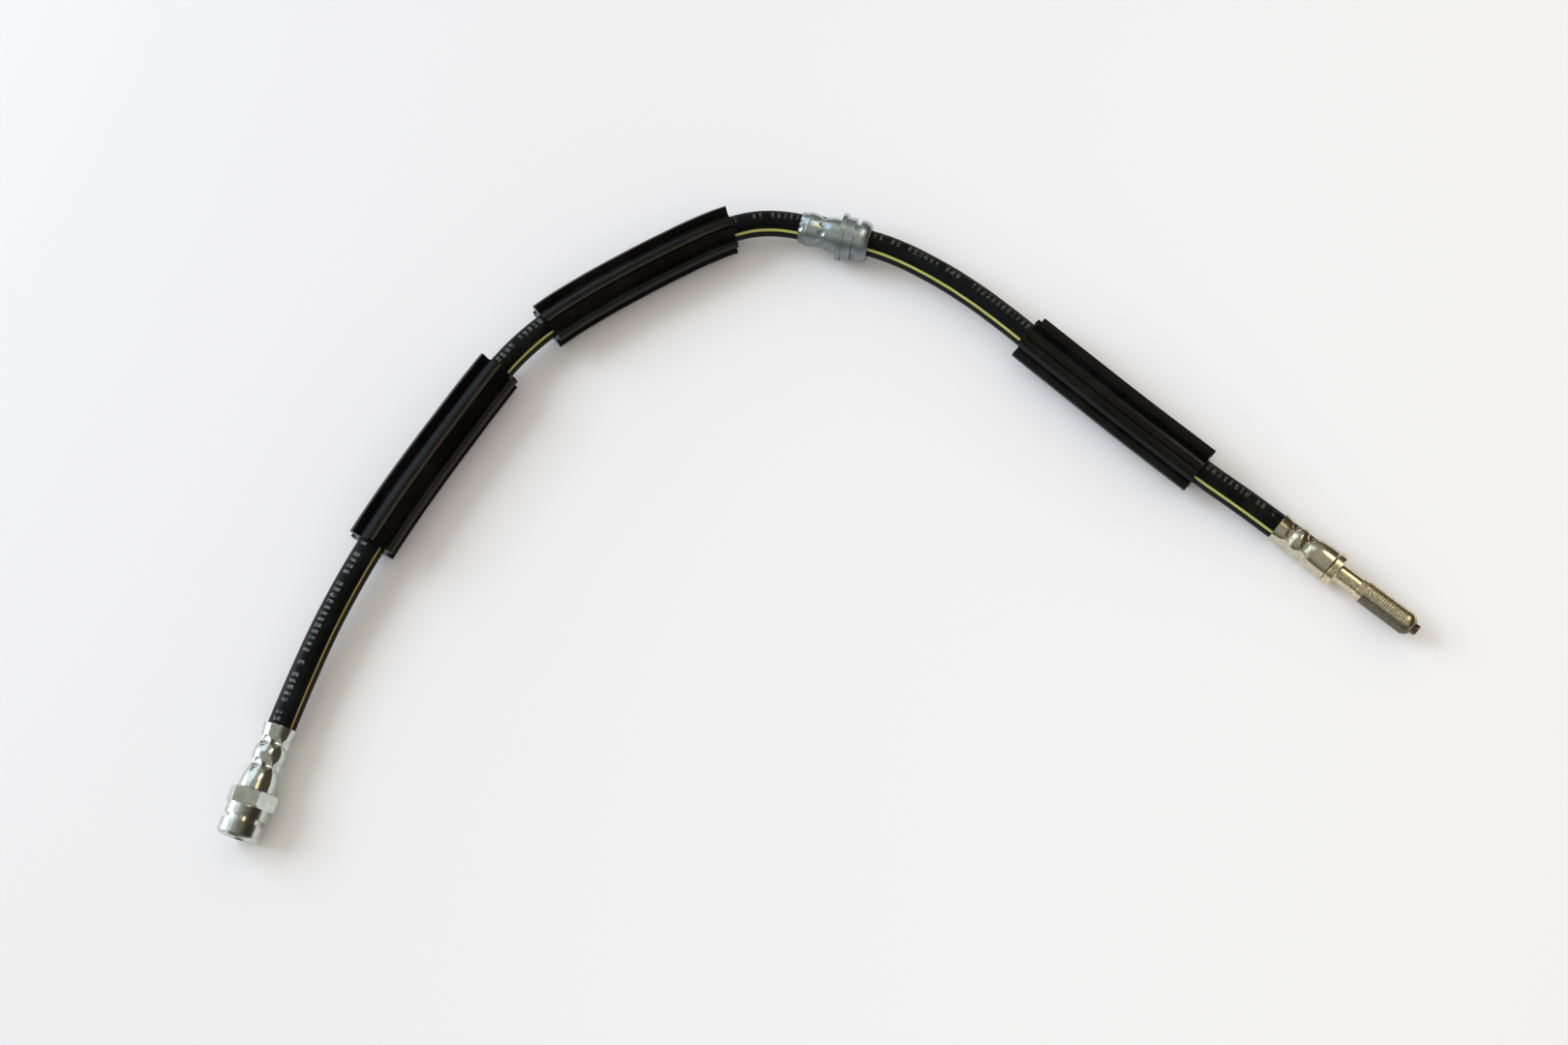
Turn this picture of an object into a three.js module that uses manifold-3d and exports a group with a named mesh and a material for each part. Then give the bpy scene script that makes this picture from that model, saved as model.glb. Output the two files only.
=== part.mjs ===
import * as THREE from 'three';
import { mergeVertices } from 'three/addons/utils/BufferGeometryUtils.js';
import Module from 'manifold-3d';

const wasm = await Module();
wasm.setup();

// Hydraulic brake hose that lies on a flat surface: a rubber hose with a crimped threaded fitting
// at each end, a bracket collar crimped round its middle and three ribbed rubber sleeves.
// Millimetres, +Z up. The origin is the middle of the base of the object's box.

// Hose
const hoseDiameter = 10.5;
const hoseBore = 3.2;
const hoseSides = 12;
const boreSides = 6;
const hoseStep = 11.5;
const fitGap = 0.3;

// Middle line of the free hose, from the rim of the female shell to the rim of the male shell.
const route = [
  [-194.0, -111.4, 8.0],
  [-193.9, -101.6, 8.0],
  [-193.4, -87.6, 8.3],
  [-192.3, -71.7, 9.0],
  [-190.4, -55.8, 9.7],
  [-187.9, -40.0, 10.0],
  [-184.3, -22.3, 10.0],
  [-179.0, -1.0, 10.0],
  [-173.1, 20.2, 10.0],
  [-167.5, 39.4, 10.0],
  [-163.7, 50.8, 10.0],
  [-158.8, 61.7, 10.0],
  [-152.1, 72.9, 10.0],
  [-141.8, 86.4, 10.0],
  [-128.7, 101.5, 10.0],
  [-115.0, 116.1, 10.0],
  [-103.6, 127.3, 10.0],
  [-94.3, 134.9, 10.0],
  [-85.6, 139.8, 10.0],
  [-77.0, 142.4, 10.0],
  [-68.0, 143.55, 10.0],
  [-60.8, 143.67, 10.0],
  [-53.6, 143.8, 10.0],
  [-46.3, 143.93, 10.0],
  [-39.1, 144.05, 10.0],
  [-28.1, 143.1, 10.0],
  [-12.4, 139.6, 10.0],
  [4.7, 133.9, 10.0],
  [21.2, 126.7, 10.0],
  [37.3, 118.7, 10.0],
  [58.8, 108.0, 10.0],
  [80.3, 97.4, 10.0],
  [100.2, 88.0, 10.0],
  [114.8, 81.3, 9.8],
  [127.9, 76.6, 8.4],
  [137.5, 73.0, 7.2],
  [144.1, 70.2, 6.9],
];
const femaleHeading = -90;
const maleHeading = -24.6;

// Crimped shell, the same cup at both ends, with its waists where each end was crimped. Its rim is
// at zero and its closed end faces the fitting.
const shellLength = 24.4;
const shellRimRadius = 6.5;
const shellWaistRadius = 5.55;
const shellBulgeRadius = 6.35;
const shellBellRadius = 6.8;
const shellWall = 0.9;
const shellEndWall = 1.4;
const shellBellRise = 4.1;
const femaleWaists = [6.3, 14.9];
const maleWaists = [6, 13];

// Round punch marks in the waists
const shellPunch = { ballRadius: 3.6, depth: 0.6, count: 8 };
const collarPunch = { ballRadius: 2.2, depth: 0.5, count: 10 };

// Barbed nipple that each fitting pushes into the hose
const nippleRadius = 2.3;
const nippleRootRadius = 1.95;
const nippleStart = 2.2;
const nippleBarbs = 3;
const nippleBore = 2.2;
const bossRadius = 3.4;

// Female fitting, from beside the closed end of its shell to its mouth
const hexAcrossFlats = 16;
const hexSides = 6;
const hexLength = 6;
const hexChamfer = 0.6;
const landDiameter = 15.8;
const landLength = 4;
const clipGrooveDiameter = 13.2;
const clipGrooveWidth = 1.8;
const mouthLandLength = 5.8;
const mouthLandChamfer = 1.1;
const femaleThreadRadius = 4.15;
const femaleThreadDepth = 11;
const mouthChamfer = 1;
const seatHeight = 2.2;
const seatBaseRadius = 3.1;
const seatTipRadius = 1.9;
const seatBore = 3;

// Male fitting, from beside the closed end of its shell to its tip
const maleCollarDiameter = 13.8;
const maleCollarLength = 3.4;
const maleCollarChamfer = 0.4;
const neckDiameter = 7.6;
const neckLength = 9.4;
const neckFillet = 0.6;
const runOutDiameter = 8.5;
const runOutLength = 1.8;
const maleThreadDiameter = 9.52;
const maleThreadLength = 19.6;
const threadChamfer = 0.9;
const noseLength = 3.1;
const noseDiameter = 5.8;
const tipDiameter = 4.4;
const tipLength = 2.2;
const tipChamfer = 0.3;

// Bracket collar crimped round the hose: a waisted tail, a flange, a land, a clip groove and a nose ring
const collarLipRadius = 6.15;
const collarBulgeRadius = 7;
const collarWaistRadius = 6.3;
const collarFirstBulge = 4.2;
const collarWaist = 9.2;
const collarSecondBulge = 13;
const tailLength = 16.6;
const flangeDiameter = 19.7;
const flangeThickness = 1.9;
const collarLandDiameter = 17.4;
const collarLandLength = 3.9;
const collarGrooveDiameter = 14;
const collarGrooveWidth = 2;
const noseRingDiameter = 17.3;
const noseRingEndDiameter = 14.8;
const noseRingLength = 4.5;
const noseRingTaper = 2.3;

// Ribbed sleeves
const sleeveLength = 86;
const sleeveRootRadius = 7;
const ribTipRadius = 10;
const ribWidth = 3;
const ribCorner = 0.8;
const ribFillet = 0.6;
const ribCount = 6;
const sleeveStep = 14.5;

// Places along the free hose, measured from the rim of the female shell
const lowerSleeveStart = 76.4;
const upperSleeveStart = 189;
const collarStart = 303.9;
const rightSleeveStart = 409.4;
const collarHeading = 1;

// Turn of each sleeve round the hose, from straight up towards the left of the run
const lowerSleeveTurn = -12;
const upperSleeveTurn = -12;
const rightSleeveTurn = 20;

// Facets and steps of the solids
const turnedFacets = 24;
const crimpFacets = 20;
const plugFacets = 12;
const punchFacets = 8;
const noseSteps = 4;
const shellDivisions = 14;
const tailDivisions = 11;
const weldDistance = 1e-5;
const lengthSamples = 2000;

const hoseRadius = hoseDiameter / 2;
const radians = THREE.MathUtils.degToRad;

// Booleans
function solidOf(geometry) {
  const bare = geometry.clone();
  bare.deleteAttribute('normal');
  bare.deleteAttribute('uv');
  const merged = mergeVertices(bare, weldDistance);
  const mesh = new wasm.Mesh({
    numProp: 3,
    vertProperties: new Float32Array(merged.attributes.position.array),
    triVerts: new Uint32Array(merged.index.array),
  });
  return new wasm.Manifold(mesh);
}

function geometryOf(solid) {
  const mesh = solid.getMesh();
  const geometry = new THREE.BufferGeometry();
  geometry.setAttribute('position', new THREE.BufferAttribute(mesh.vertProperties, 3));
  geometry.setIndex(new THREE.BufferAttribute(mesh.triVerts, 1));
  geometry.computeVertexNormals();
  return geometry;
}

// A turned form along +Y. The profile is a list of [radius, place along the axis] that runs up the
// outside; it closes on itself, or along the axis when both of its ends are on the axis.
function turned(profile, facets) {
  const points = profile.map(([radius, along]) => new THREE.Vector2(radius, along));
  const first = points[0];
  const last = points[points.length - 1];
  if (first.x > 0 || last.x > 0) points.push(first.clone());
  return new THREE.LatheGeometry(points, facets);
}

// Smooth outside of a crimped piece through its waists and bulges
function crimpedOutline(stations, divisions) {
  const curve = new THREE.SplineCurve(stations.map(([radius, along]) => new THREE.Vector2(along, radius)));
  return curve.getPoints(divisions).map((point) => [point.y, point.x]);
}

// Ring of round punch marks, each cut by a ball with its pole towards the axis
function punchMarks(surfaceRadius, along, { ballRadius, depth, count }) {
  const marks = [];
  for (let i = 0; i < count; i += 1) {
    const ball = new THREE.SphereGeometry(ballRadius, punchFacets, punchFacets);
    ball.rotateZ(Math.PI / 2);
    ball.translate(surfaceRadius + ballRadius - depth, along, 0);
    ball.rotateY((i + 0.5) * 2 * Math.PI / count);
    marks.push(solidOf(ball));
  }
  return marks;
}

// Crimped shell
function shellStations([firstWaist, secondWaist]) {
  const bellStart = secondWaist + shellBellRise;
  return [
    [shellRimRadius, 0],
    [(shellRimRadius + shellWaistRadius) / 2, firstWaist / 2],
    [shellWaistRadius, firstWaist],
    [shellBulgeRadius, (firstWaist + secondWaist) / 2],
    [shellWaistRadius, secondWaist],
    [(shellWaistRadius + 3 * shellBellRadius) / 4, bellStart],
    [shellBellRadius, (bellStart + shellLength) / 2],
    [shellBellRadius, shellLength],
  ];
}

const hoseEnd = shellLength - shellEndWall - fitGap;
const fittingStart = shellLength + fitGap;

function shellGeometry(waists) {
  const stations = shellStations(waists);
  const inside = stations
    .filter(([, along]) => along < shellLength - shellEndWall)
    .map(([radius, along]) => [radius - shellWall, along]);
  const lastInside = inside[inside.length - 1];
  const profile = [
    ...crimpedOutline(stations, shellDivisions),
    [bossRadius + fitGap, shellLength],
    [bossRadius + fitGap, shellLength - shellEndWall],
    [lastInside[0], shellLength - shellEndWall],
    ...inside.reverse(),
  ];
  let shell = solidOf(turned(profile, crimpFacets));
  for (const waist of waists) {
    for (const mark of punchMarks(shellWaistRadius, waist, shellPunch)) shell = shell.subtract(mark);
  }
  return geometryOf(shell);
}

// Outside of the nipple, from its tip to the boss that fills the hole in the shell
function nippleProfile() {
  const pitch = (hoseEnd - nippleStart) / (nippleBarbs + 1);
  const profile = [[nippleRootRadius, nippleStart]];
  for (let i = 1; i <= nippleBarbs; i += 1) {
    profile.push([nippleRadius, nippleStart + i * pitch]);
    profile.push([nippleRootRadius, nippleStart + i * pitch]);
  }
  profile.push([nippleRootRadius, shellLength - shellEndWall]);
  profile.push([bossRadius, shellLength - shellEndWall]);
  profile.push([bossRadius, fittingStart]);
  return profile;
}

// Female fitting
function hexPrism(along) {
  const corner = hexAcrossFlats / 2 / Math.cos(Math.PI / hexSides);
  const outline = new THREE.Shape();
  for (let i = 0; i < hexSides; i += 1) {
    const angle = i * 2 * Math.PI / hexSides;
    const x = corner * Math.cos(angle);
    const y = corner * Math.sin(angle);
    if (i === 0) outline.moveTo(x, y);
    else outline.lineTo(x, y);
  }
  outline.closePath();
  const prism = new THREE.ExtrudeGeometry(outline, { depth: hexLength, bevelEnabled: false });
  prism.rotateX(-Math.PI / 2);
  prism.translate(0, along, 0);
  const trim = turned([
    [0, along],
    [corner - hexChamfer, along],
    [corner, along + hexChamfer],
    [corner, along + hexLength - hexChamfer],
    [corner - hexChamfer, along + hexLength],
    [0, along + hexLength],
  ], turnedFacets * 2);
  return solidOf(prism).intersect(solidOf(trim));
}

const femaleLength = hexLength + landLength + clipGrooveWidth + mouthLandLength;
const femaleEnd = fittingStart + femaleLength;
const seatFloor = femaleEnd - femaleThreadDepth;

function femaleFittingGeometry() {
  const landStart = fittingStart + hexLength;
  const grooveStart = landStart + landLength;
  const mouthLandStart = grooveStart + clipGrooveWidth;
  const outside = turned([
    [0, nippleStart],
    ...nippleProfile(),
    [landDiameter / 2, fittingStart],
    [landDiameter / 2, grooveStart],
    [clipGrooveDiameter / 2, grooveStart],
    [clipGrooveDiameter / 2, mouthLandStart],
    [landDiameter / 2, mouthLandStart],
    [landDiameter / 2, femaleEnd - mouthLandChamfer],
    [landDiameter / 2 - mouthLandChamfer, femaleEnd],
    [0, femaleEnd],
  ], turnedFacets);
  const beyond = 1;
  const socket = turned([
    [seatBaseRadius, seatFloor],
    [femaleThreadRadius, seatFloor],
    [femaleThreadRadius, femaleEnd - mouthChamfer],
    [femaleThreadRadius + mouthChamfer, femaleEnd],
    [femaleThreadRadius + mouthChamfer, femaleEnd + beyond],
    [0, femaleEnd + beyond],
    [0, seatFloor + seatHeight],
    [seatTipRadius, seatFloor + seatHeight],
  ], turnedFacets);
  const passage = turned([
    [0, nippleStart - beyond],
    [nippleBore / 2, nippleStart - beyond],
    [nippleBore / 2, fittingStart],
    [seatBore / 2, fittingStart],
    [seatBore / 2, seatFloor + seatHeight + beyond],
    [0, seatFloor + seatHeight + beyond],
  ], plugFacets);
  const body = solidOf(outside).add(hexPrism(fittingStart));
  return geometryOf(body.subtract(solidOf(socket)).subtract(solidOf(passage)));
}

// Male fitting, with a rounded nose that is a quarter of an ellipse cut off at its small end
function noseOutline(start) {
  const startRadius = maleThreadDiameter / 2;
  const endRadius = noseDiameter / 2;
  const endAngle = Math.acos(endRadius / startRadius);
  const points = [];
  for (let i = 1; i <= noseSteps; i += 1) {
    const angle = endAngle * i / noseSteps;
    points.push([startRadius * Math.cos(angle), start + noseLength * Math.sin(angle) / Math.sin(endAngle)]);
  }
  return points;
}

function maleFittingGeometry() {
  const neckStart = fittingStart + maleCollarLength;
  const runOutStart = neckStart + neckLength;
  const threadStart = runOutStart + runOutLength;
  const threadEnd = threadStart + maleThreadLength;
  const tipStart = threadEnd + noseLength;
  const tipEnd = tipStart + tipLength;
  const profile = [
    [nippleBore / 2, nippleStart],
    ...nippleProfile(),
    [maleCollarDiameter / 2 - maleCollarChamfer, fittingStart],
    [maleCollarDiameter / 2, fittingStart + maleCollarChamfer],
    [maleCollarDiameter / 2, neckStart - maleCollarChamfer],
    [maleCollarDiameter / 2 - maleCollarChamfer, neckStart],
    [neckDiameter / 2 + neckFillet, neckStart],
    [neckDiameter / 2, neckStart + neckFillet],
    [neckDiameter / 2, runOutStart],
    [runOutDiameter / 2, runOutStart],
    [runOutDiameter / 2, threadStart],
    [maleThreadDiameter / 2, threadStart + threadChamfer],
    [maleThreadDiameter / 2, threadEnd],
    ...noseOutline(threadEnd),
    [tipDiameter / 2, tipStart],
    [tipDiameter / 2, tipEnd - tipChamfer],
    [tipDiameter / 2 - tipChamfer, tipEnd],
    [nippleBore / 2, tipEnd],
  ];
  return turned(profile, turnedFacets);
}

// Bracket collar
const flangeEnd = tailLength + flangeThickness;
const collarGrooveStart = flangeEnd + collarLandLength;
const ringStart = collarGrooveStart + collarGrooveWidth;
const collarLength = ringStart + noseRingLength;

function collarGeometry() {
  const boreRadius = hoseRadius + fitGap;
  const tail = crimpedOutline([
    [collarLipRadius, 0],
    [(collarLipRadius + collarBulgeRadius) / 2, collarFirstBulge / 2],
    [collarBulgeRadius, collarFirstBulge],
    [collarWaistRadius, collarWaist],
    [collarBulgeRadius, collarSecondBulge],
    [collarBulgeRadius, tailLength],
  ], tailDivisions);
  const profile = [
    ...tail,
    [flangeDiameter / 2, tailLength],
    [flangeDiameter / 2, flangeEnd],
    [collarLandDiameter / 2, flangeEnd],
    [collarLandDiameter / 2, collarGrooveStart],
    [collarGrooveDiameter / 2, collarGrooveStart],
    [collarGrooveDiameter / 2, ringStart],
    [noseRingDiameter / 2, ringStart],
    [noseRingDiameter / 2, collarLength - noseRingTaper],
    [noseRingEndDiameter / 2, collarLength],
    [boreRadius, collarLength],
    [boreRadius, 0],
  ];
  let collar = solidOf(turned(profile, crimpFacets));
  const marks = [
    ...punchMarks(collarWaistRadius, collarWaist, collarPunch),
    ...punchMarks(collarLipRadius, 0, collarPunch),
  ];
  for (const mark of marks) collar = collar.subtract(mark);
  return geometryOf(collar);
}

// Hose: one stretch of a smooth curve through the route, which runs straight into both shells
class RouteStretch extends THREE.Curve {
  constructor(line, start, length) {
    super();
    this.line = line;
    this.start = start;
    this.length = length;
  }

  getPoint(t, target = new THREE.Vector3()) {
    return this.line.getPointAt((this.start + t * this.length) / this.line.getLength(), target);
  }
}

function direction(heading) {
  return new THREE.Vector3(Math.cos(radians(heading)), Math.sin(radians(heading)), 0);
}

const femaleRim = new THREE.Vector3(...route[0]);
const maleRim = new THREE.Vector3(...route[route.length - 1]);
const leadIn = 10;
const inFemaleShell = direction(femaleHeading);
const inMaleShell = direction(maleHeading);
const line = new THREE.CatmullRomCurve3([
  femaleRim.clone().addScaledVector(inFemaleShell, leadIn),
  femaleRim.clone().addScaledVector(inFemaleShell, leadIn / 2),
  ...route.map((point) => new THREE.Vector3(...point)),
  maleRim.clone().addScaledVector(inMaleShell, leadIn / 2),
  maleRim.clone().addScaledVector(inMaleShell, leadIn),
], false, 'centripetal');
line.arcLengthDivisions = lengthSamples;
const freeLength = line.getLength() - 2 * leadIn;

function ringPoints(radius, sides, offset = 0) {
  const points = [];
  for (let i = 0; i < sides; i += 1) {
    const angle = (i + offset) * 2 * Math.PI / sides;
    points.push(new THREE.Vector2(radius * Math.cos(angle), radius * Math.sin(angle)));
  }
  return points;
}

function extrudedAlong(section, start, length, step) {
  return new THREE.ExtrudeGeometry(section, {
    steps: Math.ceil(length / step),
    bevelEnabled: false,
    extrudePath: new RouteStretch(line, leadIn + start, length),
  });
}

// The squeezed end of the hose between the nipple and the shell
function hosePlug(waists) {
  const plugStart = fitGap;
  const squeezed = shellStations(waists)
    .filter(([, place]) => place > plugStart && place < hoseEnd)
    .map(([radius, place]) => [Math.min(radius - shellWall - fitGap, hoseRadius), place]);
  const widest = squeezed[squeezed.length - 1][0];
  const nippleHole = nippleRadius + fitGap;
  const profile = [
    [hoseBore / 2, plugStart],
    [squeezed[0][0], plugStart],
    ...squeezed,
    [widest, hoseEnd],
    [nippleHole, hoseEnd],
    [nippleHole, nippleStart - fitGap],
    [hoseBore / 2, nippleStart - fitGap],
  ];
  return turned(profile, plugFacets);
}

function placed(geometry, point, heading) {
  geometry.rotateZ(radians(heading - 90));
  geometry.translate(point.x, point.y, point.z);
  return geometry;
}

function hoseGeometry() {
  const section = new THREE.Shape(ringPoints(hoseRadius, hoseSides));
  section.holes.push(new THREE.Path(ringPoints(hoseBore / 2, boreSides)));
  const overlap = nippleStart / 2;
  const tube = extrudedAlong(section, -overlap, freeLength + 2 * overlap, hoseStep);
  const femalePlug = placed(hosePlug(femaleWaists), femaleRim, femaleHeading);
  const malePlug = placed(hosePlug(maleWaists), maleRim, maleHeading);
  return geometryOf(solidOf(tube).add(solidOf(femalePlug)).add(solidOf(malePlug)));
}

// Ribbed sleeve: one extruded rubber section that follows the hose it is pushed over
function sleeveSection(turn) {
  const half = ribWidth / 2;
  const cornerRise = ribCorner * (1 - Math.SQRT1_2);
  const rib = [
    [Math.sqrt(sleeveRootRadius ** 2 - (half + ribFillet) ** 2), -half - ribFillet],
    [sleeveRootRadius + ribFillet, -half],
    [ribTipRadius - ribCorner, -half],
    [ribTipRadius - cornerRise, -half + cornerRise],
    [ribTipRadius, -half + ribCorner],
    [ribTipRadius, half - ribCorner],
    [ribTipRadius - cornerRise, half - cornerRise],
    [ribTipRadius - ribCorner, half],
    [sleeveRootRadius + ribFillet, half],
    [Math.sqrt(sleeveRootRadius ** 2 - (half + ribFillet) ** 2), half + ribFillet],
  ];
  const points = [];
  const down = (out, side, angle) => new THREE.Vector2(
    -(out * Math.cos(angle) - side * Math.sin(angle)),
    out * Math.sin(angle) + side * Math.cos(angle),
  );
  for (let i = 0; i < ribCount; i += 1) {
    const angle = radians(turn) + i * 2 * Math.PI / ribCount;
    for (const [out, side] of rib) points.push(down(out, side, angle));
    points.push(down(sleeveRootRadius, 0, angle + Math.PI / ribCount));
  }
  const section = new THREE.Shape(points);
  const boreRadius = (hoseRadius + fitGap) / Math.cos(Math.PI / hoseSides);
  section.holes.push(new THREE.Path(ringPoints(boreRadius, hoseSides)));
  return section;
}

function sleeveGeometry(start, turn) {
  return extrudedAlong(sleeveSection(turn), start, sleeveLength, sleeveStep);
}

// Finishes
function zincSilver() {
  return new THREE.MeshStandardMaterial({ color: 0xc9ccc6, roughness: 0.28, metalness: 0.95 });
}

function zincYellow() {
  return new THREE.MeshStandardMaterial({ color: 0xb7a87c, roughness: 0.33, metalness: 0.95 });
}

function turnedSteel() {
  return new THREE.MeshStandardMaterial({ color: 0x9a9a98, roughness: 0.38, metalness: 0.9 });
}

function hoseRubber() {
  return new THREE.MeshStandardMaterial({ color: 0x15171a, roughness: 0.55, metalness: 0 });
}

function sleeveRubber() {
  return new THREE.MeshStandardMaterial({ color: 0x121213, roughness: 0.35, metalness: 0 });
}

// Assembly
const group = new THREE.Group();

function addPiece(parent, name, geometry, material) {
  const piece = new THREE.Mesh(geometry, material);
  piece.name = name;
  parent.add(piece);
}

function endGroup(point, heading) {
  const end = new THREE.Group();
  end.position.copy(point);
  end.rotation.z = radians(heading - 90);
  group.add(end);
  return end;
}

addPiece(group, 'hose', hoseGeometry(), hoseRubber());

const female = endGroup(femaleRim, femaleHeading);
addPiece(female, 'female_crimp_shell', shellGeometry(femaleWaists), zincSilver());
addPiece(female, 'female_fitting', femaleFittingGeometry(), zincSilver());

const male = endGroup(maleRim, maleHeading);
addPiece(male, 'male_crimp_shell', shellGeometry(maleWaists), zincYellow());
addPiece(male, 'male_fitting', maleFittingGeometry(), zincYellow());

const collarMiddle = new RouteStretch(line, leadIn + collarStart, collarLength).getPoint(0.5);
const centre = endGroup(
  collarMiddle.addScaledVector(direction(collarHeading), -collarLength / 2),
  collarHeading,
);
addPiece(centre, 'centre_collar', collarGeometry(), turnedSteel());

addPiece(group, 'lower_sleeve', sleeveGeometry(lowerSleeveStart, lowerSleeveTurn), sleeveRubber());
addPiece(group, 'upper_sleeve', sleeveGeometry(upperSleeveStart, upperSleeveTurn), sleeveRubber());
addPiece(group, 'right_sleeve', sleeveGeometry(rightSleeveStart, rightSleeveTurn), sleeveRubber());

export default group;
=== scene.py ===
import math

import bmesh
import bpy
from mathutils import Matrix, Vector


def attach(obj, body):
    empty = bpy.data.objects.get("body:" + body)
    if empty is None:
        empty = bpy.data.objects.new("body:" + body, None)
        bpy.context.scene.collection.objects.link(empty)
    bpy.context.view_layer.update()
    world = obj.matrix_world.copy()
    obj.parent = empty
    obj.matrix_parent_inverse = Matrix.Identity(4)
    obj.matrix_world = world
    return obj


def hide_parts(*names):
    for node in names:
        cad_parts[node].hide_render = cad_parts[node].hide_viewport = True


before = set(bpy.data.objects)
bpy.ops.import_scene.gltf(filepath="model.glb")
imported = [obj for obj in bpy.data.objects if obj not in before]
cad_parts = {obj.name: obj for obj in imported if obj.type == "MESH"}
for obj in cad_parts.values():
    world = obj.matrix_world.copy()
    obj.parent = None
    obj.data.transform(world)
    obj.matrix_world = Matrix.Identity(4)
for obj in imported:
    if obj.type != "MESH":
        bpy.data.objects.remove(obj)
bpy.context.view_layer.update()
bpy.ops.object.select_all(action="DESELECT")

mm = 0.001

# Camera
# One plain lens above the near edge of the table, tilted about twenty degrees from straight down
# and turned a little, so that both ends of the hose stay in the picture.
camera_place = Vector((27.05, -207.21, 636.07)) * mm
camera_target = Vector((-38.5, 17.5, 10.0)) * mm
bpy.ops.object.camera_add(location=camera_place)
camera = bpy.context.object
camera.name = "camera"
camera.data.sensor_width = 36
camera.data.lens = 40
camera.data.clip_start = 0.01
camera.data.clip_end = 20
camera.rotation_mode = "QUATERNION"
camera.rotation_quaternion = (camera_target - camera_place).to_track_quat("-Z", "Y")
bpy.context.scene.camera = camera
bpy.context.scene.view_settings.view_transform = "Standard"

# Hose
# Extruded black rubber over braided cord, 10.5 mm across, with a thin yellow lay line let into its
# cover and a row of faded ink dashes beside it. Its ends are squeezed between shell and nipple.
hose_radius = 5.25 * mm
hose_bore_radius = 1.6 * mm
hose_facets = 64
hose_ring_step = 3 * mm
fit_gap = 0.3 * mm
seam_weld = 0.002 * mm

# Middle line of the free hose, from the rim of the female shell to the rim of the male shell
route = [
    (-194.0, -111.4, 8.0), (-193.9, -101.6, 8.0), (-193.4, -87.6, 8.3), (-192.3, -71.7, 9.0),
    (-190.4, -55.8, 9.7), (-187.9, -40.0, 10.0), (-184.3, -22.3, 10.0), (-179.0, -1.0, 10.0),
    (-173.1, 20.2, 10.0), (-167.5, 39.4, 10.0), (-163.7, 50.8, 10.0), (-158.8, 61.7, 10.0),
    (-152.1, 72.9, 10.0), (-141.8, 86.4, 10.0), (-128.7, 101.5, 10.0), (-115.0, 116.1, 10.0),
    (-103.6, 127.3, 10.0), (-94.3, 134.9, 10.0), (-85.6, 139.8, 10.0), (-77.0, 142.4, 10.0),
    (-68.0, 143.55, 10.0), (-60.8, 143.67, 10.0), (-53.6, 143.8, 10.0), (-46.3, 143.93, 10.0),
    (-39.1, 144.05, 10.0), (-28.1, 143.1, 10.0), (-12.4, 139.6, 10.0), (4.7, 133.9, 10.0),
    (21.2, 126.7, 10.0), (37.3, 118.7, 10.0), (58.8, 108.0, 10.0), (80.3, 97.4, 10.0),
    (100.2, 88.0, 10.0), (114.8, 81.3, 9.8), (127.9, 76.6, 8.4), (137.5, 73.0, 7.2),
    (144.1, 70.2, 6.9),
]
female_rim = Vector(route[0]) * mm
male_rim = Vector(route[-1]) * mm
female_heading = math.radians(-90)
male_heading = math.radians(-24.6)
lead_in = 24 * mm


def heading_vector(heading):
    return Vector((math.cos(heading), math.sin(heading), 0))


route_points = [
    *[female_rim + heading_vector(female_heading) * lead_in * part for part in (1, 0.6, 0.2)],
    *[Vector(point) * mm for point in route],
    *[male_rim + heading_vector(male_heading) * lead_in * part for part in (0.2, 0.6, 1)],
]
route_curve = bpy.data.curves.new("hose_line", "CURVE")
route_curve.dimensions = "3D"
route_curve.twist_mode = "Z_UP"
route_curve.resolution_u = 24
spline = route_curve.splines.new("BEZIER")
spline.bezier_points.add(len(route_points) - 1)
for bend, point in zip(spline.bezier_points, route_points):
    bend.co = point
    bend.handle_left_type = "AUTO"
    bend.handle_right_type = "AUTO"
hose_line = bpy.data.objects.new("hose_line", route_curve)
bpy.context.collection.objects.link(hose_line)
line_length = spline.calc_length(resolution=64)
free_length = line_length - 2 * lead_in


def pick(piece):
    bpy.ops.object.select_all(action="DESELECT")
    piece.select_set(True)
    bpy.context.view_layer.objects.active = piece


def edit(piece):
    pick(piece)
    bpy.ops.object.mode_set(mode="EDIT")
    bpy.ops.mesh.select_mode(type="VERT")
    bpy.ops.mesh.select_all(action="DESELECT")


def leave_edit():
    bpy.ops.object.mode_set(mode="OBJECT")


def apply_modifier(piece, kind, **settings):
    pick(piece)
    modifier = piece.modifiers.new(kind.lower(), kind)
    for name, value in settings.items():
        setattr(modifier, name, value)
    bpy.ops.object.modifier_apply(modifier=modifier.name)


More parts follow.
